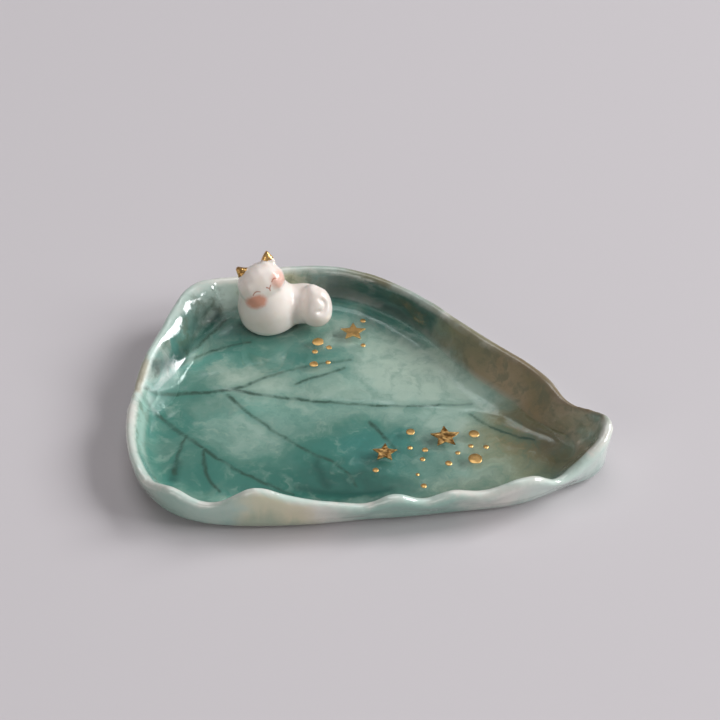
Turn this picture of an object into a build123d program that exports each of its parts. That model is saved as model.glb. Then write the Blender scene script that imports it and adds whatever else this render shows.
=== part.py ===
"""Leaf ring dish: a porcelain leaf with a turned-up rim, a clear pool of glaze in it, and a small cat
that sits at the back of the pool among gold stars and dots. Millimetres, +Z up. +X runs along the
midrib from the stalk notch to the tip, +Y to the back, and the origin is on the table, mid-foot."""

from build123d import *
from math import asin, cos, degrees, pi, radians, sin
import os

os.makedirs("parts", exist_ok=True)

# Leaf dish
LEAF_LENGTH = 94.0
LEAF_WIDTH = 70.0
RIM_HEIGHT = 10.0
WALL = 2.4
SLAB = 2.6
FOOT_TURN = 2.0
FLOOR_TURN = 2.4
RIM_STATIONS = 48

# The leaf's rim seen from above, from the stalk notch along the front to the tip and back along the
# far side: per cent of the length along the midrib and per cent of the width across it.
LEAF_OUTLINE = [
    (-49.8, -9.3), (-48.5, -22.1), (-44.7, -36.3), (-37.2, -47.1), (-26.6, -50.0), (-14.9, -47.7),
    (-2.1, -44.6), (11.7, -40.4), (24.5, -35.1), (36.7, -28.6), (45.7, -18.3), (50.2, -8.3),
    (48.3, -2.5), (43.6, 0.6), (36.5, 10.9), (23.4, 24.3), (10.6, 36.7), (-3.2, 46.9),
    (-15.4, 50.0), (-26.1, 46.9), (-35.6, 41.4), (-43.4, 34.9), (-47.8, 14.5), (-49.6, 0.0),
]

# What changes on the way round the rim, each as per cent of the way and millimetres there:
# crests and dips over the rim height, lean of the wall out over its foot, and run of the inner slope.
RIM_WAVES = [
    (0.0, -2.8), (3.0, -2.0), (8.5, -2.0), (10.2, -2.9), (11.8, -0.5), (15.5, -2.6), (19.5, 2.1),
    (21.6, -1.0), (22.4, -1.1), (23.7, -2.7), (24.7, -2.4), (26.2, -3.1), (29.6, -0.8), (31.5, -2.8),
    (33.6, -1.1), (35.7, -2.0), (38.8, 0.1), (39.8, -0.2), (41.6, -3.2), (43.6, -1.2), (47.2, 2.6),
    (48.8, 2.2), (51.0, 0.2), (58.0, 0.5), (75.0, 0.3), (81.0, 0.4), (84.0, -0.2), (88.0, 0.9),
    (96.0, -0.2), (100.0, -2.8),
]
WALL_LEAN = [
    (0.0, 1.0), (12.0, 1.4), (16.0, 1.2), (20.0, 0.9), (23.0, 1.3), (27.0, 2.4), (35.0, 2.6),
    (42.0, 2.6), (48.0, 0.6), (54.0, 1.2), (100.0, 1.0),
]
INNER_SLOPE = [
    (0.0, 3.5), (8.0, 2.6), (25.0, 3.2), (38.0, 3.6), (44.0, 5.0), (50.0, 7.0), (57.0, 6.5),
    (63.0, 5.0), (68.0, 2.6), (75.0, 1.6), (82.0, 2.2), (88.0, 5.5), (95.0, 5.5), (100.0, 3.5),
]

# The fold where the lobe laps over the far wall: its places round the rim and its depth
FOLD_START = 0.865
FOLD_MIDDLE = 0.88
FOLD_END = 0.9
FOLD_DEPTH = 0.8

# Veins pressed into the floor, as start, middle and end of an arc, in per cent like the outline
VEIN_DEPTH = 0.5
SIDE_VEIN_DEPTH = 0.35
MAIN_VEINS = [
    [(-38.0, -0.5), (0.0, 2.0), (34.0, 4.5)],
    [(-38.0, -3.5), (-24.0, -14.0), (-9.0, -32.0)],
    [(-38.0, 2.5), (-30.0, 10.0), (-19.0, 15.5)],
]
SIDE_VEINS = [
    [(-20.0, 0.2), (-10.0, -9.0), (1.0, -28.0)],
    [(-20.0, 2.6), (-8.0, 9.5), (6.0, 12.5)],
    [(6.0, 1.6), (18.0, -7.0), (30.0, -10.0)],
]

# Clear pool
POOL_DEPTH = 1.6

# Cat, with its face turned from the front: yaw to the tip, pitch up, roll to its own right
CAT_SEAT = (-27.0, 33.1)
BALL_STEP = 33.0
CHEST_RADIUS = 6.6
CHEST_LIFT = 3.4
RUMP_RADIUS = 4.3
RUMP_LIFT = 4.0
RUMP_OFFSET = (7.1, 2.3)
NECK_RADIUS = 4.2
NECK_DROP = 1.2
NECK_BACK = 0.4
HEAD_LIFT = 11.4
HEAD_OFFSET = (-1.4, -1.1)
HEAD_YAW = 20.0
HEAD_PITCH = 26.0
HEAD_ROLL = 24.0
CHEEK_RADIUS = 4.0
CHEEK_SPREAD = 0.95
CHEEK_DROP = 0.3
EAR_WIDTH = 3.0
EAR_HEIGHT = 2.6
EAR_THICKNESS = 1.6
EAR_SPREAD = 2.7
EAR_SHIFT = 0.7
EAR_BASE = 2.8
EAR_ROOT = 1.8
EAR_LEAN = 20.0
GOLD_THICKNESS = 0.15
GOLD_MARGIN = 0.25
TAIL_WIDTH = 6.9
TAIL_TOP_WIDTH = 6.1
TAIL_RISE = 2.2
TAIL_OFFSET = (9.9, 0.0)
TAIL_LIFT = 5.6
TAIL_TURN = 10.0
TAIL_LEAN = 30.0
TAIL_ROOT_RADIUS = 1.7
CREASE_DEPTH = 0.6
TAIL_CREASE = [(0.07, 0.18), (0.27, 0.02), (0.1, -0.14)]

# Gold stars and dots on the pool: place in per cent like the outline, radius, turn of the star
STAR_WAIST = 0.48
STAR_THICKNESS = 0.25
STARS = {
    "gold_star_back": ((-8.0, 30.0), 2.7, 10.0),
    "gold_star_right": ((16.3, -8.7), 3.0, 14.0),
    "gold_star_left": ((4.9, -17.7), 2.5, 8.0),
}
DOT_THICKNESS = 0.25
DOT_SIDES = 10
DOTS = {
    "gold_dots_back": [
        (-14.9, 24.0, 1.2), (-14.4, 14.3, 0.85), (-14.9, 19.6, 0.6), (-11.5, 15.7, 0.5),
        (-12.2, 22.1, 0.6), (-6.5, 35.4, 0.6), (-5.1, 24.7, 0.5),
    ],
    "gold_dots_front": [
        (9.1, -8.4, 0.9), (22.0, -6.1, 1.0), (23.2, -15.7, 1.35), (21.8, -11.0, 0.5),
        (24.9, -10.6, 0.55), (19.5, -14.3, 0.5), (18.1, -18.7, 0.65), (9.7, -14.6, 0.45),
        (12.8, -14.7, 0.6), (12.7, -18.4, 0.55), (3.9, -24.7, 0.6), (12.4, -24.4, 0.35),
        (14.1, -28.3, 0.55),
    ],
}

LIP_RADIUS = WALL / 2
POOL_TOP = SLAB + POOL_DEPTH


def from_percent(along, across, height=0.0):
    """A place over the leaf's plan, from per cent of its length and width and a height in mm."""
    return Vector(along / 100 * LEAF_LENGTH, across / 100 * LEAF_WIDTH, height)


def round_the_rim(values, share):
    """The value at a share of the way round, eased from one given place to the next."""
    percent = share * 100
    for (start, low), (end, high) in zip(values, values[1:]):
        if percent <= end:
            ease = (1 - cos(pi * (percent - start) / (end - start))) / 2
            return low + (high - low) * ease
    return values[-1][1]


with BuildLine() as rim_line:
    Spline([from_percent(*point) for point in LEAF_OUTLINE], periodic=True)
rim_edge = rim_line.edges()[0]


def ring(inset, leans, slopes, height_share, height):
    """A closed curve round the dish. It lies inside the rim by an inset in mm, a share of the wall's
    lean and a share of the inner slope, at a share of the rim's own height plus a height in mm."""
    points = []
    for station in range(RIM_STATIONS):
        share = station / RIM_STATIONS
        on_rim = rim_edge @ share
        inward = (Vector(on_rim.X * 0.45, 0) - on_rim).normalized()
        run = inset + leans * round_the_rim(WALL_LEAN, share) + slopes * round_the_rim(INNER_SLOPE, share)
        rise = height + height_share * (RIM_HEIGHT + round_the_rim(RIM_WAVES, share))
        points.append(on_rim + inward * run + Vector(0, 0, rise))
    return Edge.make_spline(points, periodic=True)


def foot_ring(turn):
    """A ring on the rounded turn from the foot, at 0 degrees, to the outer wall, at 90."""
    inset = FOOT_TURN * (1 - sin(radians(turn)))
    return ring(inset, 1.0, 0.0, 0.0, FOOT_TURN * (1 - cos(radians(turn))))


def lip_ring(turn):
    """A ring on the round lip, from 0 degrees outside to 180 inside."""
    rise = LIP_RADIUS * (sin(radians(turn)) - 1)
    return ring(LIP_RADIUS * (1 - cos(radians(turn))), 0.0, 0.0, 1.0, rise)


def inner_ring(down):
    """A ring on the inner slope, from 0 under the lip to 1 where it runs out on the floor."""
    fall = (1 - down) ** 1.8
    return ring(WALL + FLOOR_TURN * down**2, 0.0, down, fall, SLAB * (1 - fall) - LIP_RADIUS * fall)


wall_rings = [foot_ring(turn) for turn in (0, 45, 90)]
wall_rings += [lip_ring(turn) for turn in (0, 60, 120, 180)]
wall_rings += [inner_ring(down) for down in (0.25, 0.5, 0.75, 1.0)]

with BuildPart() as leaf_dish:
    add(Solid.make_loft([Wire([edge]) for edge in wall_rings], ruled=True))
    fold = [lip_ring(90) @ FOLD_START, inner_ring(0.3) @ FOLD_MIDDLE, inner_ring(0.5) @ FOLD_END]
    grooves = [(fold, FOLD_DEPTH)]
    for depth, veins in ((VEIN_DEPTH, MAIN_VEINS), (SIDE_VEIN_DEPTH, SIDE_VEINS)):
        grooves += [([from_percent(*point, SLAB) for point in vein], depth) for vein in veins]
    for places, depth in grooves:
        with BuildLine() as route:
            ThreePointArc(*places)
        with BuildSketch(Plane(route.line @ 0, x_dir=(0, 0, 1), z_dir=route.line % 0)):
            RegularPolygon(depth, 4)
        sweep(path=route.line, mode=Mode.SUBTRACT)

# Where the cat sits, and the planes of its face and its coiled tail
seat = from_percent(*CAT_SEAT, SLAB)
chest = seat + Vector(0, 0, CHEST_LIFT)
head = seat + Vector(*HEAD_OFFSET, HEAD_LIFT)
neck = head + Vector(0, NECK_BACK, -NECK_DROP)
rump = seat + Vector(*RUMP_OFFSET, RUMP_LIFT)
head_turn = Rot(0, 0, HEAD_YAW) * Rot(-HEAD_PITCH, 0, 0) * Rot(0, -HEAD_ROLL, 0)
face = Plane(Pos(head) * head_turn * Rot(90, 0, 0))
tail = seat + Vector(*TAIL_OFFSET, TAIL_LIFT)
coil = Plane(Pos(tail) * Rot(0, 0, TAIL_TURN) * Rot(90 - TAIL_LEAN, 0, 0))


def rolled_clay(start, start_radius, end, end_radius):
    """A ball at each end and the cone that touches both, like clay rolled to a neck, in a few turned steps."""
    length = (end - start).length
    axis = (end - start).normalized()
    side = Plane(start, z_dir=axis).x_dir
    touch = degrees(asin((start_radius - end_radius) / length))
    outline = []
    for height, radius, low, high in ((0, start_radius, -90, touch), (length, end_radius, touch, 90)):
        steps = round((high - low) / BALL_STEP)
        for step in range(steps + 1):
            turn = radians(low + (high - low) * step / steps)
            outline.append((radius * cos(turn), height + radius * sin(turn)))
    with BuildPart() as clay:
        with BuildSketch(Plane(start, x_dir=side, z_dir=side.cross(axis))):
            Polygon(*outline, align=None)
        revolve(axis=Axis(start, axis))
    return clay.part


left_cheek = face.from_local_coords((-CHEEK_SPREAD, -CHEEK_DROP, 0))
right_cheek = face.from_local_coords((CHEEK_SPREAD, -CHEEK_DROP, 0))
cheeks = rolled_clay(left_cheek, CHEEK_RADIUS, right_cheek, CHEEK_RADIUS)
breast = rolled_clay(chest, CHEST_RADIUS, neck, NECK_RADIUS)
haunch = rolled_clay(chest, RUMP_RADIUS, rump, RUMP_RADIUS)
foot_end = coil.from_local_coords((0, -TAIL_RISE / 2, 0))
top_end = coil.from_local_coords((0, TAIL_RISE / 2, 0))
brush = rolled_clay(foot_end, TAIL_WIDTH / 2, top_end, TAIL_TOP_WIDTH / 2)
root_end = coil.from_local_coords((-TAIL_WIDTH * 0.13, TAIL_WIDTH * 0.44, 0))
root = rolled_clay(root_end, TAIL_ROOT_RADIUS, rump, TAIL_ROOT_RADIUS)


with BuildPart() as cat_head:
    add(cheeks)


def ear_plane(side):
    """Plane of an ear, its origin at the middle of the ear's foot. Side is -1 left or 1 right."""
    foot = Pos(EAR_SHIFT + side * EAR_SPREAD, EAR_BASE, 0)
    return Plane(face.location * foot * Rot(0, 0, -side * EAR_LEAN))


def ear(side):
    """One ear: a small wedge whose narrow root sinks into the head and is cut by it."""
    half = EAR_WIDTH / 2
    outline = [(-half, 0), (-half / 2, -EAR_ROOT), (half / 2, -EAR_ROOT), (half, 0), (0, EAR_HEIGHT)]
    with BuildPart() as one_ear:
        with BuildSketch(ear_plane(side)):
            Polygon(*outline, align=None)
        extrude(amount=EAR_THICKNESS / 2, both=True)
        add(cat_head.part, mode=Mode.SUBTRACT)
    return one_ear.part


def ear_gold(side):
    """The gold leaf on the front of one ear."""
    with BuildPart() as patch:
        with BuildSketch(ear_plane(side).offset(EAR_THICKNESS / 2)):
            Polygon((-EAR_WIDTH / 2, 0), (EAR_WIDTH / 2, 0), (0, EAR_HEIGHT), align=None)
            offset(amount=-GOLD_MARGIN, mode=Mode.REPLACE)
        extrude(amount=GOLD_THICKNESS)
        add(cat_head.part, mode=Mode.SUBTRACT)
    return patch.part


with BuildPart() as cat_body:
    add(breast)
    add(haunch)
    split(bisect_by=Plane.XY.offset(SLAB))
    for piece in (leaf_dish, cat_head):
        add(piece.part, mode=Mode.SUBTRACT)


with BuildPart() as cat_tail:
    add(brush)
    add(root)
    crease_places = [(along * TAIL_WIDTH, up * TAIL_WIDTH) for along, up in TAIL_CREASE]
    with BuildLine(coil.offset(TAIL_WIDTH * 0.45)) as crease:
        ThreePointArc(*crease_places)
    with BuildSketch(Plane(crease.line @ 0, z_dir=crease.line % 0)):
        RegularPolygon(CREASE_DEPTH, 4)
    sweep(path=crease.line, mode=Mode.SUBTRACT)
    split(bisect_by=Plane.XY.offset(SLAB))
    for piece in (leaf_dish, cat_body):
        add(piece.part, mode=Mode.SUBTRACT)

with BuildPart() as clear_pool:
    with BuildSketch(Plane.XY.offset(SLAB / 2)):
        make_face(ring(WALL, 0.4, 0.0, 0.0, SLAB / 2))
    extrude(amount=POOL_TOP - SLAB / 2)
    for piece in (leaf_dish, cat_body, cat_tail):
        add(piece.part, mode=Mode.SUBTRACT)
    add(clear_pool.solids().sort_by(SortBy.VOLUME)[-1], mode=Mode.REPLACE)


def star(place, radius, turn):
    """One five-pointed star of gold leaf on the pool."""
    corners = []
    for corner in range(10):
        reach = radius if corner % 2 == 0 else radius * STAR_WAIST
        angle = radians(90 + turn + corner * 36)
        corners.append((reach * cos(angle), reach * sin(angle)))
    with BuildPart() as leaf_star:
        with BuildSketch(Plane(from_percent(*place, POOL_TOP))):
            Polygon(*corners, align=None)
        extrude(amount=STAR_THICKNESS)
    return leaf_star.part


def dots(places):
    """A group of gold dots on the pool, each its own flat drop."""
    with BuildPart() as drops:
        for along, across, radius in places:
            with BuildSketch(Plane(from_percent(along, across, POOL_TOP))):
                RegularPolygon(radius, DOT_SIDES)
            extrude(amount=DOT_THICKNESS)
    return drops.part


pieces = {
    "leaf_dish": leaf_dish.part,
    "clear_pool": clear_pool.part,
    "cat_body": cat_body.part,
    "cat_head": cat_head.part,
    "cat_left_ear": ear(-1),
    "cat_right_ear": ear(1),
    "left_ear_gold": ear_gold(-1),
    "right_ear_gold": ear_gold(1),
    "cat_tail": cat_tail.part,
}
pieces.update({name: star(*values) for name, values in STARS.items()})
pieces.update({name: dots(places) for name, places in DOTS.items()})

for name, piece in pieces.items():
    piece.label = name
    export_step(piece, "parts/" + name + ".step")
    print(name, "valid" if piece.is_valid else "NOT VALID", len(piece.solids()), "solids")
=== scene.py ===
"""Looks of the leaf ring dish: painted porcelain under a clear pool, a glazed cat, and gold lustre.
Metres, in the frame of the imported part. Painted places are given in millimetres over the leaf's plan."""

import bmesh
import bpy
from math import cos, degrees, exp, pi, radians, sin
from mathutils import Matrix, Vector, noise
from mathutils.bvhtree import BVHTree


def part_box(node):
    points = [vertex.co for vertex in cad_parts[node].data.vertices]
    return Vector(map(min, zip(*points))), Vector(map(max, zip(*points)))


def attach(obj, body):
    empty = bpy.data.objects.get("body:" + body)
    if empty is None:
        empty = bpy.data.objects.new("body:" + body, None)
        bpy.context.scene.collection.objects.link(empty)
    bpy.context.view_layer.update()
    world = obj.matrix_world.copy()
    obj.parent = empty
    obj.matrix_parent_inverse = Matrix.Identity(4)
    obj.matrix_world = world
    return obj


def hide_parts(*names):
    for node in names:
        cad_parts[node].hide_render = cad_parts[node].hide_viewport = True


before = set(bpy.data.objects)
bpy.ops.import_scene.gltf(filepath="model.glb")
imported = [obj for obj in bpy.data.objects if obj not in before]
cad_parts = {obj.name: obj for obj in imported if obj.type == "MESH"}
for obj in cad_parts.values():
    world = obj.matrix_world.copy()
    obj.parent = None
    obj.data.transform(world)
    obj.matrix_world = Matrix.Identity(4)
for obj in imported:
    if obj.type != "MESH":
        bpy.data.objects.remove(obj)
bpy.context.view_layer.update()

MM = 0.001

# Camera: its direction in degrees, distance in metres and lens in mm
CAMERA_AZIMUTH = 10
CAMERA_ELEVATION = 42
CAMERA_DISTANCE = 0.4
CAMERA_TARGET = Vector((-4.5, 12, 5)) * MM
CAMERA_LENS = 100

# Porcelain skins: grain of the clay in mm and rounds of smoothing; the cat gets its body rounds
# only beyond the reach of its head, in mm
LEAF_GRAIN = 0.5
LEAF_ROUNDS = 14
CAT_GRAIN = 0.2
CAT_ROUNDS = 12
HEAD_REACH = 5.4
BODY_ROUNDS = 45
LAST_ROUNDS = 3

# Leaf, in mm: top of its floor, and the waviness of its wall above a level, as size and height of the waves
FLOOR_TOP = 2.6
WAVY_ABOVE = 3.2
WALL_WAVES = (5, 0.18)

# How the lip is found: by the highest point in each narrow heading from the middle, in radians and metres
HEADING_STEP = radians(1.2)
NEAR_MIDDLE = 0.01
USUAL_CREST = 0.008

# Swollen lobe of the wall beside the cat, with the pleat that ends it, in mm
LOBE_SWELL = 1.3
LOBE_WAVES = (2.2, 0.12)
LOBE_START = (4, 14)
LOBE_EDGE = -30
PLEAT_PLACE = Vector((-36.5, 23.8))
PLEAT_SIDE = Vector((0.77, 0.64))
PLEAT_WIDTH = 0.5

# Gentle ramp up to the stalk, in mm
STALK = Vector((-46.5, -4.8))
STALK_HEIGHT = 7.4
STALK_REACH = 10.5

# Pool of clear glaze, in mm, and the share of its rise against the cat that it has against the leaf
POOL_GRID = 0.55
POOL_DEPTH_BELOW_FLOOR = 0.8
POOL_WAVES = (9, 0.05)
POOL_BANK = 1.0
MENISCUS_RISE = 0.45
MENISCUS_REACH = 0.6
MENISCUS_EDGE = -34
LEAF_MENISCUS = 0.25

# Cat's face: its middle, its yaw, pitch and roll in degrees, and how the cheeks swell, in mm
FACE_MIDDLE = Vector((-26.8, 22.1, 14.0)) * MM
FACE_TURN = (20, 26, 24)
CHEEK_SWELL = 0.35
CHEEK_REACH = 1.4

# Coiled tail: middle, turn and lean of the coil, and the groove where its end tucks in, in mm and degrees
COIL_MIDDLE = Vector((-15.4, 23.2, 8.2)) * MM
COIL_TURN = 10
COIL_LEAN = 30
COIL_REACH = 4.5
COIL_FRONT = 0.5
CURL_MIDDLE = Vector((0.6, 0.5))
CURL_SPAN = (-80, 60)
CURL_RADIUS = 1.3
CURL_DEPTH = 0.6
CURL_WIDTH = 0.4
CURL_END = 30

# Gold lustre, in mm
DROP_HEIGHT = 0.3
DROP_LIFT = 0.05
DROP_WAVES = (0.8, 0.12)
STAR_HEIGHT = 0.28
STAR_EDGE = 0.09
EAR_REACH = 3
EAR_GOLD = 0.07
EAR_GOLD_REACH = 2.1

# Glaze on the leaf, in mm: how far its colours drift and curl, and how far the veins are shaken
DRIFT = (12, 10, 0)
CURL = (6, 6, 0)
SHAKE = (1.4, 1.4, 0)
# Levels between which the floor's paint gives way to the wall's, and the floor's veins fade
WALL_FOOT = (3.6, 5.2)
VEINS_FADE = (5.0, 9.0)
# Depths below the rim between which the pale lip ends, and between which the outer drips begin
LIP_END = (0.6, 1.9)
DRIPS_BEGIN = (8.0, 13.0)
# Satin place by the stalk, as middle and radii
SATIN_MIDDLE = (-43, -2, 0)
SATIN_RADII = (4.5, 7, 1)

# Colours as screen values
MINT = "BFD2C9"
MILK = "DAD7CF"
STONE = "9AA69C"
SAGE = "8C9B90"
TEAL = "5F8C82"
DEEP_TEAL = "2F655B"
DARK_TEAL = "1C463F"
BLUE_TEAL = "37746F"
AQUA = "8FB5A8"
DARK_GREEN = "1F4136"
PALE = "AFB4A8"
TAN = "8E7653"
OLIVE = "7D7656"
MOSS = "596450"
BROWN = "74603F"
UMBER = "594C33"
SAND = "A2957B"
BUTTER = "C9C19A"
VEIN = "2A4136"
WARM_WHITE = "E8DFD8"
BISQUE = "DBCBBD"
SALMON = "DB8F74"
FACE_LINE = "B06A52"
GOLD = "EBBE7A"
# Darker gold painted in as shade and dark reflection on the crumpled lustre
GOLD_PAINTED_SHADE = "6E4518"
CLEAR = "EDF8F5"
CLEAR_SHADOW = "F2FAF8"
FLOOR = "C6C1C4"
SURROUND = "D2D0D2"
SURROUND_STRENGTH = 0.3

# Lamps: name, place and size in metres, power in watts, tint
LAMPS = [
    ("right window pane", (1.85, 1.05, 1.35), (0.9, 1.15), 43, (0.98, 0.99, 1.0)),
    ("left window pane", (2.15, 0.05, 1.2), (0.85, 1.05), 30, (0.98, 0.99, 1.0)),
    ("ceiling", (-0.15, 0.38, 1.5), (1.0, 1.0), 5, (0.98, 0.98, 1.0)),
    ("front fill", (-0.6, -1.9, 0.84), (1.4, 1.2), 10, (1.0, 0.96, 0.92)),
]


def colour(code):
    """A linear colour with alpha from a screen value such as C6C1C4."""
    screen = [int(code[i:i + 2], 16) / 255 for i in (0, 2, 4)]
    return [v / 12.92 if v <= 0.04045 else ((v + 0.055) / 1.055) ** 2.4 for v in screen] + [1.0]


def smooth_over(bm, verts, rounds):
    """Smooths some corners of a bmesh in rounds and points its normals anew."""
    for _ in range(rounds):
        bmesh.ops.smooth_vert(bm, verts=verts, factor=0.5, use_axis_x=True, use_axis_y=True, use_axis_z=True)
    bm.normal_update()


def piece_of(bm, name, material, nodes, smooth=True):
    """A finished piece of the object from a bmesh: shaded, riding on the dish, in place of CAD nodes."""
    mesh = bpy.data.meshes.new(name)
    bm.to_mesh(mesh)
    bm.free()
    for polygon in mesh.polygons:
        polygon.use_smooth = smooth
    piece = bpy.data.objects.new(name, mesh)
    bpy.context.scene.collection.objects.link(piece)
    mesh.materials.append(material)
    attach(piece, "root")
    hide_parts(*nodes)
    return piece


def fired_clay(nodes, grain, rounds):
    """The CAD nodes grown into one even skin and smoothed, as glaze rounds off clay."""
    clay = bmesh.new()
    for node in nodes:
        clay.from_mesh(bpy.data.objects[node].data)
    bmesh.ops.remove_doubles(clay, verts=clay.verts, dist=1e-6)
    mesh = bpy.data.meshes.new("clay")
    clay.to_mesh(mesh)
    clay.free()
    lump = bpy.data.objects.new("clay", mesh)
    bpy.context.scene.collection.objects.link(lump)
    remesh = lump.modifiers.new("skin", "REMESH")
    remesh.mode = "VOXEL"
    remesh.voxel_size = grain * MM
    graph = bpy.context.evaluated_depsgraph_get()
    skin = bmesh.new()
    skin.from_mesh(lump.evaluated_get(graph).to_mesh())
    bpy.data.objects.remove(lump)
    bpy.data.meshes.remove(mesh)
    smooth_over(skin, skin.verts, rounds)
    return skin


def ripple(place, waves):
    """Height in metres of hand-made waviness at a place, for waves given as size and height in mm."""
    size, height = waves
    return noise.noise(place / (size * MM)) * height * MM


def heading_of(place):
    """The direction of a place from the leaf's middle, counted in heading steps."""
    if place.xy.length <= NEAR_MIDDLE:
        return 0
    return Vector((1, 0)).angle_signed(place.xy) / HEADING_STEP


class Paint:
    """Makes shader nodes in a tree and joins them, so that a material reads as a recipe."""

    def __init__(self, tree):
        self.tree = tree

    def node(self, kind, inputs=(), **settings):
        made = self.tree.nodes.new(kind)
        for key, value in settings.items():
            setattr(made, key, value)
        for key, value in dict(inputs).items():
            self.put(made.inputs[key], value)
        return made

    def put(self, socket, value):
        if isinstance(value, bpy.types.NodeSocket):
            self.tree.links.new(value, socket)
        elif value is not None:
            socket.default_value = value

    def math(self, operation, a, b=None, clamp=False):
        made = self.node("ShaderNodeMath", operation=operation, use_clamp=clamp)
        self.put(made.inputs[0], a)
        self.put(made.inputs[1], b)
        return made.outputs[0]

    def vector(self, operation, a, b=None, output=0):
        made = self.node("ShaderNodeVectorMath", operation=operation)
        self.put(made.inputs[0], a)
        self.put(made.inputs[1], b)
        return made.outputs[output]

    def fade(self, value, start, end, low=0.0, high=1.0):
        """Runs smoothly from low to high as the value goes from start to end."""
        made = self.node("ShaderNodeMapRange", interpolation_type="SMOOTHSTEP")
        sockets = ("Value", "From Min", "From Max", "To Min", "To Max")
        for socket, given in zip(sockets, (value, start, end, low, high)):
            self.put(made.inputs[socket], given)
        return made.outputs["Result"]

    def noise(self, place, scale, detail=3.0, roughness=0.55, distortion=0.0):
        inputs = {"Vector": place, "Scale": scale, "Detail": detail}
        inputs |= {"Roughness": roughness, "Distortion": distortion}
        return self.node("ShaderNodeTexNoise", inputs)

    def wander(self, place, scale, detail=3.0, roughness=0.55, distortion=0.0):
        """A noise that wanders evenly to all sides of nothing, up to about half a unit."""
        cloud = self.noise(place, scale, detail, roughness, distortion).outputs["Color"]
        return self.vector("SUBTRACT", cloud, (0.5, 0.5, 0.5))

    def in_mm(self, place):
        """A place given in metres, turned into millimetres."""
        scaled = self.vector("SCALE", place)
        scaled.node.inputs["Scale"].default_value = 1 / MM
        return scaled

    def patch(self, place, middle, radii, turn, edge):
        """Mask of a soft oval patch, with its turn in degrees."""
        return self.group(PATCH, place=place, middle=middle, radii=radii, turn=radians(turn), edge=edge)

    def mix(self, share, under, over, blend="MIX"):
        made = self.node("ShaderNodeMix", data_type="RGBA", blend_type=blend)
        self.put(made.inputs[0], share)
        self.put(made.inputs[6], colour(under) if isinstance(under, str) else under)
        self.put(made.inputs[7], colour(over) if isinstance(over, str) else over)
        return made.outputs[2]

    def group(self, tree, **inputs):
        made = self.node("ShaderNodeGroup")
        made.node_tree = tree
        for key, value in inputs.items():
            self.put(made.inputs[key.replace("_", " ").capitalize()], value)
        return made.outputs[0]


def new_group(name, inputs, output):
    """An empty node group with named inputs, and the paint, input node and output socket to fill it."""
    tree = bpy.data.node_groups.new(name, "ShaderNodeTree")
    for label, kind in inputs:
        tree.interface.new_socket(label, in_out="INPUT", socket_type=kind)
    tree.interface.new_socket(output, in_out="OUTPUT", socket_type="NodeSocketFloat")
    paint = Paint(tree)
    return tree, paint, paint.node("NodeGroupInput"), paint.node("NodeGroupOutput").inputs[0]


def make_stroke_group():
    """How far in mm a place lies outside a brush stroke that bows aside by bend and runs thin at its end."""
    inputs = [("Place", "NodeSocketVector"), ("Start", "NodeSocketVector"), ("End", "NodeSocketVector")]
    inputs += [(label, "NodeSocketFloat") for label in ("Bend", "Width", "End width")]
    tree, paint, given, out = new_group("brush stroke", inputs, "Gap")
    given = given.outputs
    reach = paint.vector("SUBTRACT", given["End"], given["Start"])
    length = paint.vector("LENGTH", reach, output=1)
    along_axis = paint.vector("NORMALIZE", reach)
    across_axis = paint.vector("CROSS_PRODUCT", (0, 0, 1), along_axis)
    offset = paint.vector("SUBTRACT", given["Place"], given["Start"])
    along = paint.vector("DOT_PRODUCT", offset, along_axis, output=1)
    across = paint.vector("DOT_PRODUCT", offset, across_axis, output=1)
    share = paint.math("DIVIDE", along, length, clamp=True)
    rest = paint.math("SUBTRACT", 1.0, share)
    arch = paint.math("MULTIPLY", paint.math("MULTIPLY", share, rest), 4.0)
    bow = paint.math("MULTIPLY", arch, given["Bend"])
    beside = paint.math("SUBTRACT", across, bow)
    beyond = paint.math("SUBTRACT", along, paint.math("MULTIPLY", share, length))
    beside = paint.math("MULTIPLY", beside, beside)
    beyond = paint.math("MULTIPLY", beyond, beyond)
    gap = paint.math("SQRT", paint.math("ADD", beside, beyond))
    change = paint.math("MULTIPLY", paint.math("SUBTRACT", given["End width"], given["Width"]), share)
    half = paint.math("MULTIPLY", paint.math("ADD", given["Width"], change), 0.5)
    paint.put(out, paint.math("SUBTRACT", gap, half))
    return tree


def make_patch_group():
    """Mask of a soft oval of glaze with a middle, two radii and a turn in radians."""
    inputs = [("Place", "NodeSocketVector"), ("Middle", "NodeSocketVector"), ("Radii", "NodeSocketVector")]
    inputs += [("Turn", "NodeSocketFloat"), ("Edge", "NodeSocketFloat")]
    tree, paint, given, out = new_group("glaze patch", inputs, "Mask")
    given = given.outputs
    turning = {"Vector": given["Place"], "Center": given["Middle"], "Angle": given["Turn"]}
    turned = paint.node("ShaderNodeVectorRotate", turning, rotation_type="Z_AXIS", invert=True)
    offset = paint.vector("SUBTRACT", turned.outputs[0], given["Middle"])
    scaled = paint.vector("DIVIDE", offset, given["Radii"])
    flat = paint.vector("MULTIPLY", scaled, (1, 1, 0))
    gap = paint.vector("LENGTH", flat, output=1)
    inner = paint.math("SUBTRACT", 1.0, given["Edge"])
    outer = paint.math("ADD", 1.0, given["Edge"])
    paint.put(out, paint.fade(gap, inner, outer, 1.0, 0.0))
    return tree


STROKE = make_stroke_group()
PATCH = make_patch_group()


def new_material(name):
    """A material with its Principled shader, output and paint."""
    material = bpy.data.materials.new(name)
    material.use_nodes = True
    material.node_tree.nodes.clear()
    paint = Paint(material.node_tree)
    shader = paint.node("ShaderNodeBsdfPrincipled")
    output = paint.node("ShaderNodeOutputMaterial")
    paint.put(output.inputs["Surface"], shader.outputs[0])
    return material, paint, shader, output


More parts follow.
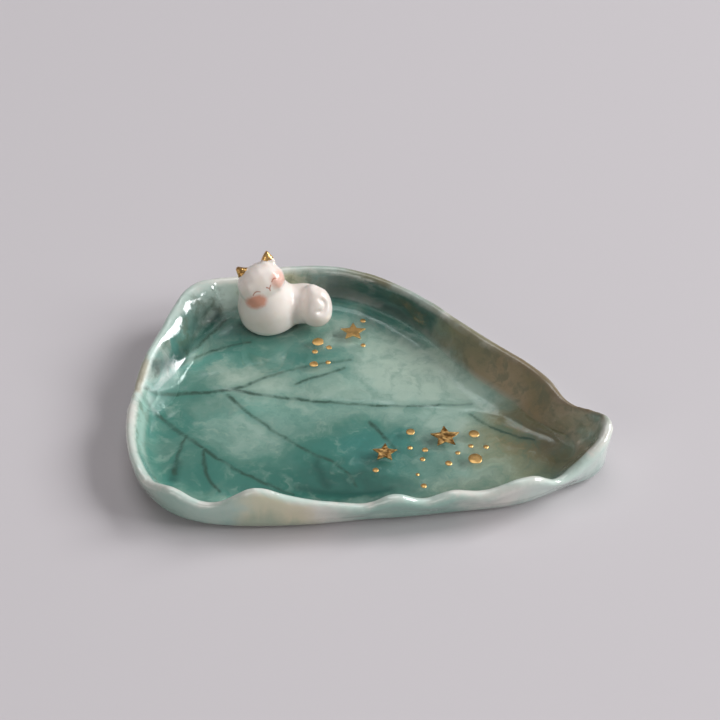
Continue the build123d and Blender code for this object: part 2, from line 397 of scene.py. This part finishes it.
# Broad patches of glaze on the leaf: colour, middle and radii in mm, turn in degrees, softness, strength
FLOOR_PATCHES = [
    (STONE, (14, 4), (22, 13), -20, 0.6, 0.8),
    (PALE, (4, 16), (15, 7), -20, 0.6, 0.6),
    (STONE, (-20, -12), (11, 7), 20, 0.6, 0.7),
    (SAGE, (22, -13), (16, 8), 10, 0.6, 0.7),
    (UMBER, (24, -18), (12, 4), 20, 0.6, 0.4),
    (DEEP_TEAL, (-37, -14), (9, 14), 10, 0.6, 0.7),
    (DEEP_TEAL, (-3, -14), (18, 12), 10, 0.6, 0.9),
    (BLUE_TEAL, (3, -11), (8, 5), 0, 0.6, 0.7),
    (DARK_TEAL, (-3, -21), (13, 5), 5, 0.6, 0.8),
    (DEEP_TEAL, (-22, 14), (13, 7), 0, 0.6, 0.8),
    (PALE, (-25, 3), (9, 5), 0, 0.6, 0.4),
    (DEEP_TEAL, (-38, 0), (8, 7), 0, 0.6, 0.7),
    (SAGE, (-12, 2), (10, 6), 0, 0.6, 0.6),
    (OLIVE, (32, -4), (11, 9), -30, 0.6, 0.8),
    (BROWN, (33, -3), (8, 6), -40, 0.6, 0.8),
    (DEEP_TEAL, (-22, -23), (16, 6), 0, 0.6, 0.8),
    (DEEP_TEAL, (1, 26), (9, 3), -25, 0.6, 0.7),
]
WALL_PATCHES = [
    (MINT, (-38, 22), (9, 8), 40, 0.5, 0.9),
    (DEEP_TEAL, (-37, 14), (10, 4), 55, 0.5, 0.8),
    (BUTTER, (-27, 30), (7, 4), 10, 0.5, 0.6),
    (AQUA, (-43, -12), (4, 11), 10, 0.5, 0.8),
    (MILK, (-10, -31), (22, 3), 8, 0.5, 0.9),
    (MINT, (24, -23), (18, 3), 22, 0.5, 0.9),
    (DARK_GREEN, (-4, 30), (12, 4), -20, 0.5, 0.7),
    (MOSS, (9, 23), (12, 4), -38, 0.5, 0.6),
    (OLIVE, (19, 15), (10, 4), -38, 0.5, 0.9),
    (TAN, (30, 6), (12, 6), -42, 0.5, 0.9),
    (SAND, (25, 9), (7, 3), -42, 0.5, 0.5),
    (OLIVE, (33, 8), (9, 3), -45, 0.5, 0.6),
    (SAND, (40, -6), (7, 5), -60, 0.5, 0.8),
]
LIP_PATCHES = [
    (MINT, (-44, 10), (7, 16), 20, 0.4, 0.9),
    (SAND, (-46.5, -3), (2.5, 4), 0, 0.4, 0.8),
    (STONE, (-14, 36), (14, 4), -5, 0.5, 0.6),
    (OLIVE, (-4, 34), (6, 4), -10, 0.5, 0.9),
    (STONE, (8, 29), (9, 4), -30, 0.5, 0.8),
    (OLIVE, (20, 20), (12, 5), -38, 0.5, 0.9),
    (BROWN, (33, 8), (14, 5), -42, 0.5, 0.9),
    (BROWN, (42, -1), (6, 4), -20, 0.5, 0.9),
]
OUTSIDE_PATCHES = [
    (SAGE, (-37, -30), (9, 5), -40, 0.5, 0.8),
    (AQUA, (-27, -34), (10, 5), 0, 0.5, 0.7),
    (BUTTER, (-12, -33), (7, 5), 8, 0.5, 0.7),
    (MILK, (0, -30), (8, 3), 15, 0.5, 0.8),
    (AQUA, (14, -27), (14, 6), 19, 0.5, 1.0),
    (MILK, (30, -20), (9, 3), 28, 0.5, 0.7),
    (MINT, (40, -14), (9, 6), 45, 0.5, 0.9),
    (OLIVE, (10, 34), (26, 6), -34, 0.5, 0.6),
    (MINT, (-46, 5), (5, 20), 0, 0.5, 0.6),
]
# Veins: start, end, bow, width at the start and at the end, in mm
VEINS = [
    ((-46.1, -4.9), (-28.2, 0.7), 0.0, 0.45, 0.38),
    ((-28.2, 0.7), (18.7, 4.8), -2.0, 0.38, 0.05),
    ((-27.8, 0.8), (-6.8, 13.4), 1.4, 0.25, 0.08),
    ((-16.1, 4.6), (-7.5, 10.8), 0.0, 0.12, 0.05),
    ((-28.6, -1.2), (-8.3, -14.7), -0.7, 0.25, 0.18),
    ((-8.3, -14.7), (0.6, -21.2), 1.5, 0.18, 0.1),
    ((-45.9, -5.5), (-32.2, -15.0), -0.2, 0.42, 0.3),
    ((-32.2, -15.0), (-10.5, -25.3), -1.1, 0.3, 0.15),
    ((-34.1, -13.6), (-33.5, -24.0), -0.6, 0.2, 0.45),
    ((-29.8, -16.8), (-24.2, -27.2), -1.2, 0.25, 0.1),
    ((-46.3, -4.2), (-38.1, 8.0), -0.1, 0.35, 0.25),
    ((-38.1, 8.0), (-27.8, 15.3), 0.7, 0.25, 0.1),
    ((-39.4, 8.5), (-34.0, 20.6), -0.1, 0.15, 0.1),
    ((0.2, -3.6), (6.9, -10.9), 0.2, 0.3, 0.1),
    ((19.1, 2.0), (32.2, -3.1), -1.1, 0.12, 0.05),
]
# Dark strokes, in the same form: glaze gathered in the leaf's folds and dents, with painted shade in the
# valleys along the foot of the walls and round the cat's foot
DARK_GLAZE_AND_SHADE_STROKES = [
    ((-44.1, 0.2), (-40.1, 6.8), -0.3, 0.2, 0.5),
    ((-40.1, 6.8), (-35.7, 20.8), 0.1, 0.5, 0.5),
    ((-7.8, -15.7), (-4.6, -22.1), -0.6, 0.3, 0.9),
    ((-33.9, -20.8), (-33.5, -25.7), 0.0, 0.5, 0.5),
    ((-14.3, 31.6), (-5.2, 30.4), 0.6, 0.5, 0.8),
    ((-5.2, 30.4), (8.3, 23.2), 0.6, 0.8, 0.6),
    ((-30.7, 20.3), (-19.8, 22.0), -3.1, 0.3, 0.3),
    ((-9.7, -23.5), (7.4, -21.1), -1.3, 0.4, 0.4),
]


def least_gap(paint, place, strokes):
    """How far a place lies outside the nearest of some brush strokes."""
    least = None
    for start, end, bend, width, end_width in strokes:
        gap = paint.group(STROKE, place=place, start=(*start, 0), end=(*end, 0), bend=bend,
                          width=width, end_width=end_width)
        least = gap if least is None else paint.math("MINIMUM", least, gap)
    return least


def painted(paint, ground, patches, place):
    """Lays soft patches of glaze over the ground colour, one by one."""
    for tone, middle, radii, turn, edge, strength in patches:
        mask = paint.patch(place, (*middle, 0), (*radii, 1), turn, edge)
        ground = paint.mix(paint.math("MULTIPLY", mask, strength), ground, tone)
    return ground


def leaf_glaze():
    """Sea green, cream and brown glazes run together over the leaf, with dark veins and a pale lip."""
    material, paint, shader, _ = new_material("leaf glaze")
    where = paint.node("ShaderNodeTexCoord").outputs["Object"]
    place = paint.in_mm(where)
    drift = paint.wander(place, 0.07, 3.0, 0.5, 0.6)
    curl = paint.wander(place, 0.25, 4.0, 0.6)
    drifted = paint.vector("ADD", place, paint.vector("MULTIPLY", drift, DRIFT))
    drifted = paint.vector("ADD", drifted, paint.vector("MULTIPLY", curl, CURL))
    combed = paint.vector("MULTIPLY", drifted, (0.6, 1.2, 1))
    clouds = paint.noise(combed, 0.12, 5.0, 0.6, 0.5).outputs["Fac"]
    ground = paint.mix(paint.fade(clouds, 0.38, 0.62), TEAL, SAGE)
    floor_paint = painted(paint, ground, FLOOR_PATCHES, drifted)
    fine = paint.noise(drifted, 0.3, 5.0, 0.6).outputs["Fac"]
    floor_paint = paint.mix(paint.fade(fine, 0.45, 0.7, 0.0, 0.35), floor_paint, DEEP_TEAL)
    floor_paint = paint.mix(paint.fade(fine, 0.5, 0.28, 0.0, 0.25), floor_paint, PALE)
    level = paint.node("ShaderNodeSeparateXYZ", {"Vector": place}).outputs["Z"]
    shaken = paint.vector("ADD", place, paint.vector("MULTIPLY", curl, SHAKE))
    vein_gap = least_gap(paint, shaken, VEINS)
    # Painted shade: darker teal along the folds, the foot of the walls and the cat's foot, together with
    # gathered glaze
    glaze_and_shade_gap = least_gap(paint, shaken, DARK_GLAZE_AND_SHADE_STROKES)
    glaze_and_shade = paint.fade(glaze_and_shade_gap, -0.4, 1.4, 0.95, 0.0)
    floor_paint = paint.mix(paint.math("MULTIPLY", glaze_and_shade, 0.8), floor_paint, DARK_TEAL)
    halo = paint.fade(vein_gap, 0.0, 2.2, 0.35, 0.0)
    floor_paint = paint.mix(halo, floor_paint, DEEP_TEAL)
    worn = paint.fade(fine, 0.38, 0.62, 0.35, 0.9)
    veins = paint.math("MULTIPLY", paint.fade(vein_gap, -0.1, 0.6, 1.0, 0.0), worn)
    low_veins = paint.math("MULTIPLY", veins, paint.fade(level, *VEINS_FADE, 1.0, 0.0))
    floor_paint = paint.mix(low_veins, floor_paint, VEIN)
    wall_ground = paint.mix(paint.fade(clouds, 0.4, 0.6), STONE, TEAL)
    wall_paint = painted(paint, wall_ground, WALL_PATCHES, drifted)
    wall_paint = paint.mix(paint.fade(fine, 0.45, 0.65, 0.0, 0.5), wall_paint, MOSS)
    # Painted shade in the wall's folds and valleys, together with gathered glaze
    wall_paint = paint.mix(paint.math("MULTIPLY", glaze_and_shade, 0.9), wall_paint, DARK_TEAL)
    wall_paint = paint.mix(paint.math("MULTIPLY", veins, 0.8), wall_paint, VEIN)
    inside = paint.mix(paint.fade(level, *WALL_FOOT), floor_paint, wall_paint)
    below_lip = paint.node("ShaderNodeAttribute", attribute_name="below_lip").outputs["Fac"]
    outer_side = paint.node("ShaderNodeAttribute", attribute_name="outer_side").outputs["Fac"]
    streaked = paint.vector("MULTIPLY", place, (1, 1, 0.2))
    streaks = paint.noise(streaked, 0.22, 4.0, 0.6, 0.4).outputs["Fac"]
    outside = paint.mix(paint.fade(streaks, 0.3, 0.75), MILK, MINT)
    outside = painted(paint, outside, OUTSIDE_PATCHES, drifted)
    drip = paint.math("ADD", below_lip, paint.math("MULTIPLY", streaks, 8.0))
    outside = paint.mix(paint.fade(drip, *DRIPS_BEGIN, 0.0, 0.5), outside, TEAL)
    glazed = paint.mix(outer_side, inside, outside)
    lip_ground = paint.mix(paint.fade(clouds, 0.35, 0.65), MILK, MINT)
    lip_paint = painted(paint, lip_ground, LIP_PATCHES, drifted)
    lip_depth = paint.math("ADD", below_lip, paint.math("MULTIPLY", fine, 1.2))
    lip = paint.fade(lip_depth, *LIP_END, 0.9, 0.0)
    glazed = paint.mix(lip, glazed, lip_paint)
    paint.put(shader.inputs["Base Color"], glazed)
    waves = paint.noise(place, 0.35, 3.0, 0.5).outputs["Fac"]
    bump = paint.node("ShaderNodeBump", {"Strength": 0.25, "Distance": 0.0006, "Height": waves})
    paint.put(shader.inputs["Normal"], bump.outputs[0])
    satin = paint.patch(place, SATIN_MIDDLE, SATIN_RADII, 0.0, 0.3)
    paint.put(shader.inputs["Roughness"], paint.fade(satin, 0.0, 1.0, 0.13, 0.38))
    paint.put(shader.inputs["Coat Weight"], paint.fade(satin, 0.0, 1.0, 0.7, 0.0))
    shader.inputs["IOR"].default_value = 1.6
    shader.inputs["Coat Roughness"].default_value = 0.05
    return material


def clear_glaze():
    """Pooled glaze that shows the painted floor through it and lets lamps through."""
    material, paint, shader, output = new_material("clear glaze")
    shader.inputs["Base Color"].default_value = colour(CLEAR)
    shader.inputs["Roughness"].default_value = 0.02
    shader.inputs["IOR"].default_value = 1.5
    shader.inputs["Transmission Weight"].default_value = 1.0
    through = paint.node("ShaderNodeBsdfTransparent", {"Color": colour(CLEAR_SHADOW)})
    shadow = paint.node("ShaderNodeLightPath").outputs["Is Shadow Ray"]
    both = paint.node("ShaderNodeMixShader", {0: shadow, 1: shader.outputs[0], 2: through.outputs[0]})
    paint.put(output.inputs["Surface"], both.outputs[0])
    return material


def cat_glaze():
    """Warm white glaze with painted cheeks, closed eyes and a small mouth."""
    material, paint, shader, _ = new_material("cat glaze")
    where = paint.node("ShaderNodeTexCoord").outputs["Object"]
    centring = {"Vector": where, "Location": FACE_MIDDLE}
    on_face = paint.node("ShaderNodeMapping", centring, vector_type="TEXTURE")
    on_face.inputs["Rotation"].default_value = FACE.to_euler("XYZ")
    place = paint.in_mm(on_face.outputs[0])
    front = paint.fade(paint.node("ShaderNodeSeparateXYZ", {"Vector": place}).outputs["Z"], 0.3, 1.2)
    speck = paint.wander(place, 1.2, 3.0)
    shaken = paint.vector("ADD", place, paint.vector("MULTIPLY", speck, (0.7, 0.7, 0)))
    tint = paint.noise(where, 220, 3.0).outputs["Fac"]
    glazed = paint.mix(paint.fade(tint, 0.4, 0.7, 0.0, 0.35), WARM_WHITE, BISQUE)
    for middle, radii, turn, strength in CHEEKS:
        mask = paint.patch(shaken, (*middle, 0), (*radii, 1), turn, 0.35)
        mask = paint.math("MULTIPLY", paint.math("MULTIPLY", mask, front), strength)
        glazed = paint.mix(mask, glazed, SALMON)
    lines = None
    for start, end, bend, width in FACE_STROKES:
        gap = paint.group(STROKE, place=place, start=(*start, 0), end=(*end, 0), bend=bend,
                          width=width, end_width=width * 0.6)
        mask = paint.fade(gap, 0.0, 0.14, 1.0, 0.0)
        lines = mask if lines is None else paint.math("MAXIMUM", lines, mask)
    glazed = paint.mix(paint.math("MULTIPLY", paint.math("MULTIPLY", lines, front), 0.75), glazed, FACE_LINE)
    paint.put(shader.inputs["Base Color"], glazed)
    shader.inputs["Roughness"].default_value = 0.18
    shader.inputs["IOR"].default_value = 1.5
    shader.inputs["Subsurface Weight"].default_value = 0.25
    shader.inputs["Subsurface Radius"].default_value = (1.0, 0.7, 0.5)
    shader.inputs["Subsurface Scale"].default_value = 0.0015
    return material


def gold_lustre(name, dents, painted_shade_share):
    """Hand-laid gold lustre with dents of a given depth, and a share of darker gold painted over the
    crumples as shade and dark reflection.
    """
    material, paint, shader, _ = new_material(name)
    where = paint.node("ShaderNodeTexCoord").outputs["Object"]
    crumple = paint.noise(where, 1100, 2.0, 0.5).outputs["Fac"]
    # Painted shade and dark reflection: darker gold laid over the higher crumples
    shade = paint.mix(paint.fade(crumple, 0.5 - painted_shade_share / 4, 0.7, 0.0, painted_shade_share), GOLD, GOLD_PAINTED_SHADE)
    paint.put(shader.inputs["Base Color"], shade)
    shader.inputs["Metallic"].default_value = 1.0
    shader.inputs["Roughness"].default_value = 0.36
    bump = paint.node("ShaderNodeBump", {"Strength": dents, "Distance": 0.0003, "Height": crumple})
    paint.put(shader.inputs["Normal"], bump.outputs[0])
    return material


# The face's own frame: x to the viewer's right, y up, z out of the face
yaw, pitch, roll = [radians(turn) for turn in FACE_TURN]
FACE = Matrix.Rotation(yaw, 3, "Z") @ Matrix.Rotation(-pitch, 3, "X") @ Matrix.Rotation(-roll, 3, "Y")
FACE = FACE @ Matrix.Rotation(pi / 2, 3, "X")

COIL = Matrix.Rotation(radians(COIL_TURN), 3, "Z") @ Matrix.Rotation(radians(90 - COIL_LEAN), 3, "X")

# Painted cheeks as middle, radii, turn and strength; painted lines as start, end, bow and width, in mm
CHEEKS = [((-2.6, -2.6), (2.1, 1.5), -12, 0.85), ((3.4, -0.9), (1.6, 1.7), 0, 0.55)]
FACE_STROKES = [
    ((-2.5, -0.9), (-1.0, -0.9), 0.35, 0.16),
    ((2.1, -0.3), (3.3, -0.3), 0.3, 0.16),
    ((0.6, -0.8), (1.0, -1.3), 0.0, 0.16),
    ((1.0, -1.3), (1.5, -0.8), 0.0, 0.16),
    ((1.0, -1.3), (0.9, -1.8), 0.0, 0.14),
]

leaf_material = leaf_glaze()
cat_material = cat_glaze()
smooth_gold = gold_lustre("smooth gold lustre", 0.2, 0.3)
crumpled_gold = gold_lustre("crumpled gold lustre", 0.9, 0.9)

# Leaf dish
pool_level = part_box("clear_pool")[1].z
leaf = fired_clay(["leaf_dish"], LEAF_GRAIN, LEAF_ROUNDS)
for vert in leaf.verts:
    if vert.co.z > WAVY_ABOVE * MM:
        vert.co += vert.normal * ripple(vert.co, WALL_WAVES)
leaf.normal_update()
crests = {}
for vert in leaf.verts:
    heading = round(heading_of(vert.co))
    crests[heading] = max(crests.get(heading, 0), vert.co.z)
below = leaf.verts.layers.float.new("below_lip")
outer = leaf.verts.layers.float.new("outer_side")
for vert in leaf.verts:
    away = vert.co.xy.normalized() if vert.co.xy.length > NEAR_MIDDLE else Vector((1, 0))
    heading = heading_of(vert.co)
    low = int(heading // 1)
    share = heading - low
    crest_here = crests.get(low, USUAL_CREST)
    crest = crest_here * (1 - share) + crests.get(low + 1, crest_here) * share
    vert[below] = max(0, crest - vert.co.z) / MM
    facing = vert.normal.xy.dot(away)
    vert[outer] = min(1, max(0, (facing - 0.1) / 0.4)) if vert.normal.z > -0.2 else 1
for vert in leaf.verts:
    if vert[outer] < 0.5 and vert.co.z > pool_level:
        up_wall = (vert.co.z - pool_level) / (vert.co.z - pool_level + vert[below] * MM + 0.1 * MM)
        along = min(1, max(0, (vert.co.y / MM - LOBE_START[0]) / (LOBE_START[1] - LOBE_START[0])))
        past_pleat = (vert.co.xy / MM - PLEAT_PLACE).dot(PLEAT_SIDE) / PLEAT_WIDTH
        share = along**2 * (3 - 2 * along) / (1 + exp(min(40, max(-40, 4 * past_pleat))))
        if vert.co.x < LOBE_EDGE * MM and share > 0.01:
            swell = LOBE_SWELL * MM * sin(pi * up_wall) * share
            vert.co += vert.normal * (swell + share * ripple(vert.co, LOBE_WAVES))
for vert in leaf.verts:
    gap = (vert.co.xy / MM - STALK).length / STALK_REACH
    ramp = (FLOOR_TOP + (STALK_HEIGHT - FLOOR_TOP) * max(0, 1 - gap)**2) * MM
    if vert[outer] < 0.5 and gap < 1 and 0.8 * FLOOR_TOP * MM < vert.co.z < ramp:
        vert.co.z = ramp
near_stalk = [vert for vert in leaf.verts if (vert.co.xy / MM - STALK).length < STALK_REACH]
smooth_over(leaf, near_stalk, LAST_ROUNDS)
leaf_tree = BVHTree.FromBMesh(leaf)
piece_of(leaf, "leaf", leaf_material, ["leaf_dish"])

# Cat
cat_nodes = ["cat_body", "cat_head", "cat_left_ear", "cat_right_ear", "cat_tail"]
cat = fired_clay(cat_nodes, CAT_GRAIN, CAT_ROUNDS)
for vert in cat.verts:
    on_face = FACE.transposed() @ (vert.co - FACE_MIDDLE) / MM
    if on_face.z > 0:
        for middle, *_ in CHEEKS:
            gap = (on_face.xy - Vector(middle)).length
            vert.co += vert.normal * CHEEK_SWELL * MM * exp(-(gap / CHEEK_REACH) ** 2)
away = [vert for vert in cat.verts if (vert.co - FACE_MIDDLE).length > HEAD_REACH * MM]
smooth_over(cat, away, BODY_ROUNDS)
for vert in cat.verts:
    on_coil = COIL.transposed() @ (vert.co - COIL_MIDDLE) / MM
    if on_coil.z > COIL_FRONT and on_coil.xy.length < COIL_REACH:
        from_middle = on_coil.xy - CURL_MIDDLE
        turn = -degrees(Vector((1, 0)).angle_signed(from_middle, 0))
        past_end = max(0, CURL_SPAN[0] - turn, turn - CURL_SPAN[1]) / CURL_END
        gap = (from_middle.length - CURL_RADIUS) / CURL_WIDTH
        vert.co -= vert.normal * CURL_DEPTH * MM * exp(-gap**2 - past_end**2)
smooth_over(cat, cat.verts, LAST_ROUNDS)
cat_tree = BVHTree.FromBMesh(cat)
ear_tips = {}
up = FACE @ Vector((0, 1, 0))
for side in ("left", "right"):
    low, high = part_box("cat_" + side + "_ear")
    near = [vert.co for vert in cat.verts if (vert.co - (low + high) / 2).length < EAR_REACH * MM]
    point = max(near, key=lambda place: place.dot(up)).copy()
    tip = cat.copy()
    far = [vert for vert in tip.verts if (vert.co - point).length > EAR_GOLD_REACH * MM]
    bmesh.ops.delete(tip, geom=far, context="VERTS")
    tip.normal_update()
    for vert in tip.verts:
        vert.co += vert.normal * EAR_GOLD * MM
    bmesh.ops.solidify(tip, geom=tip.faces[:], thickness=2 * EAR_GOLD * MM)
    bmesh.ops.recalc_face_normals(tip, faces=tip.faces[:])
    ear_tips[side] = tip
piece_of(cat, "cat", cat_material, cat_nodes)
for side, tip in ear_tips.items():
    gold = crumpled_gold if side == "left" else smooth_gold
    piece_of(tip, side + "_ear_gold_leaf", gold, [side + "_ear_gold"])

# Clear pool
low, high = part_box("clear_pool")
pool_top = high.z
pool = bmesh.new()
columns = int((high.x - low.x) / (POOL_GRID * MM))
rows = int((high.y - low.y) / (POOL_GRID * MM))
bmesh.ops.create_grid(pool, x_segments=columns, y_segments=rows, size=0.5)
bmesh.ops.scale(pool, verts=pool.verts, vec=(high.x - low.x, high.y - low.y, 1))
bmesh.ops.translate(pool, verts=pool.verts, vec=((low.x + high.x) / 2, (low.y + high.y) / 2, pool_top))
dry = []
for vert in pool.verts:
    ground = leaf_tree.ray_cast(Vector((vert.co.x, vert.co.y, 0.05)), Vector((0, 0, -1)))[0]
    if ground is None or ground.z > pool_top + POOL_BANK * MM:
        dry.append(vert)
bmesh.ops.delete(pool, geom=dry, context="VERTS")
for vert in pool.verts:
    rise = 0
    leaf_share = LEAF_MENISCUS if vert.co.x > MENISCUS_EDGE * MM else 0
    for tree, share in ((leaf_tree, leaf_share), (cat_tree, 1.0)):
        gap = tree.find_nearest(vert.co)[3] / MM
        rise = max(rise, share * MENISCUS_RISE * exp(-gap / MENISCUS_REACH))
    vert.co.z += rise * MM + ripple(vert.co, POOL_WAVES)
lowered = bmesh.ops.extrude_face_region(pool, geom=pool.faces[:], use_keep_orig=True)["geom"]
for item in lowered:
    if isinstance(item, bmesh.types.BMVert):
        item.co.z = low.z - POOL_DEPTH_BELOW_FLOOR * MM
bmesh.ops.recalc_face_normals(pool, faces=pool.faces)
piece_of(pool, "pool", clear_glaze(), ["clear_pool"])


def islands(node):
    """The separate solids of a CAD node, each as a list of its corners."""
    shape = bmesh.new()
    shape.from_mesh(bpy.data.objects[node].data)
    bmesh.ops.remove_doubles(shape, verts=shape.verts, dist=1e-6)
    left = set(shape.verts)
    found = []
    while left:
        group, edge = [], [left.pop()]
        while edge:
            vert = edge.pop()
            group.append(vert.co.copy())
            for link in vert.link_edges:
                other = link.other_vert(vert)
                if other in left:
                    left.remove(other)
                    edge.append(other)
        found.append(group)
    shape.free()
    return found


# Gold dots: drops with a domed top
for node in ("gold_dots_back", "gold_dots_front"):
    drops = bmesh.new()
    for corners in islands(node):
        middle = sum(corners, Vector()) / len(corners)
        radius = max((corner.xy - middle.xy).length for corner in corners)
        drop = bmesh.ops.create_uvsphere(drops, u_segments=20, v_segments=10, radius=1)["verts"]
        bmesh.ops.scale(drops, verts=drop, vec=(radius, radius, DROP_HEIGHT / 2 * MM))
        bmesh.ops.translate(drops, verts=drop, vec=(middle.x, middle.y, pool_top + DROP_LIFT * MM))
        for vert in drop:
            vert.co += (vert.co - middle).normalized() * ripple(vert.co, DROP_WAVES)
    piece_of(drops, node + "_lustre", smooth_gold, [node])

# Gold stars: thin foil with softened edges
for node in ("gold_star_back", "gold_star_right", "gold_star_left"):
    corners = islands(node)[0]
    middle = sum(corners, Vector()) / len(corners)
    rim = [corner for corner in corners if corner.z < middle.z]
    rim.sort(key=lambda corner: Vector((1, 0)).angle_signed((corner - middle).xy))
    star = bmesh.new()
    ring = bmesh.ops.create_circle(star, cap_ends=True, segments=len(rim), radius=1)["verts"]
    for vert, corner in zip(ring, reversed(rim)):
        vert.co = corner
    top = bmesh.ops.extrude_face_region(star, geom=star.faces[:])["geom"]
    raised = [item for item in top if isinstance(item, bmesh.types.BMVert)]
    bmesh.ops.translate(star, verts=raised, vec=(0, 0, STAR_HEIGHT * MM))
    bmesh.ops.recalc_face_normals(star, faces=star.faces)
    bmesh.ops.bevel(star, geom=star.edges[:], offset=STAR_EDGE * MM, offset_type="OFFSET", segments=2,
                    profile=0.5, affect="EDGES", material=-1)
    gold = smooth_gold if node == "gold_star_back" else crumpled_gold
    piece_of(star, node + "_lustre", gold, [node], smooth=False)


def soft_lamp(name, place, size, power, tint):
    """A broad studio lamp that points at the dish."""
    light = bpy.data.lights.new(name, "AREA")
    light.shape = "RECTANGLE"
    light.size, light.size_y = size
    light.energy = power
    light.color = tint
    lamp = bpy.data.objects.new(name, light)
    bpy.context.scene.collection.objects.link(lamp)
    lamp.location = place
    lamp.rotation_euler = (-Vector(place)).to_track_quat("-Z", "Y").to_euler()


def studio():
    """Plain pale floor under the dish, the lamps, and even pale light from all around."""
    bm = bmesh.new()
    bmesh.ops.create_grid(bm, x_segments=1, y_segments=1, size=3)
    bmesh.ops.translate(bm, verts=bm.verts, vec=(0, 0, -0.00002))
    mesh = bpy.data.meshes.new("table top")
    bm.to_mesh(mesh)
    bm.free()
    top = bpy.data.objects.new("table top", mesh)
    bpy.context.scene.collection.objects.link(top)
    material, _, shader, _ = new_material("table top")
    shader.inputs["Base Color"].default_value = colour(FLOOR)
    shader.inputs["Roughness"].default_value = 0.7
    mesh.materials.append(material)
    for lamp in LAMPS:
        soft_lamp(*lamp)
    world = bpy.data.worlds.new("surround")
    bpy.context.scene.world = world
    world.use_nodes = True
    background = world.node_tree.nodes["Background"]
    background.inputs["Color"].default_value = colour(SURROUND)
    background.inputs["Strength"].default_value = SURROUND_STRENGTH


def camera():
    """The camera at the photograph's viewing angle."""
    azimuth, elevation = radians(CAMERA_AZIMUTH), radians(CAMERA_ELEVATION)
    back = Vector((sin(azimuth) * cos(elevation), -cos(azimuth) * cos(elevation), sin(elevation)))
    data = bpy.data.cameras.new("camera")
    data.lens = CAMERA_LENS
    data.sensor_width = 36
    data.clip_start = 0.01
    data.clip_end = 20
    eye = bpy.data.objects.new("camera", data)
    bpy.context.scene.collection.objects.link(eye)
    eye.location = CAMERA_TARGET + back * CAMERA_DISTANCE
    eye.rotation_euler = (-back).to_track_quat("-Z", "Y").to_euler()
    bpy.context.scene.camera = eye


studio()
camera()
bpy.context.scene.view_settings.view_transform = "Standard"
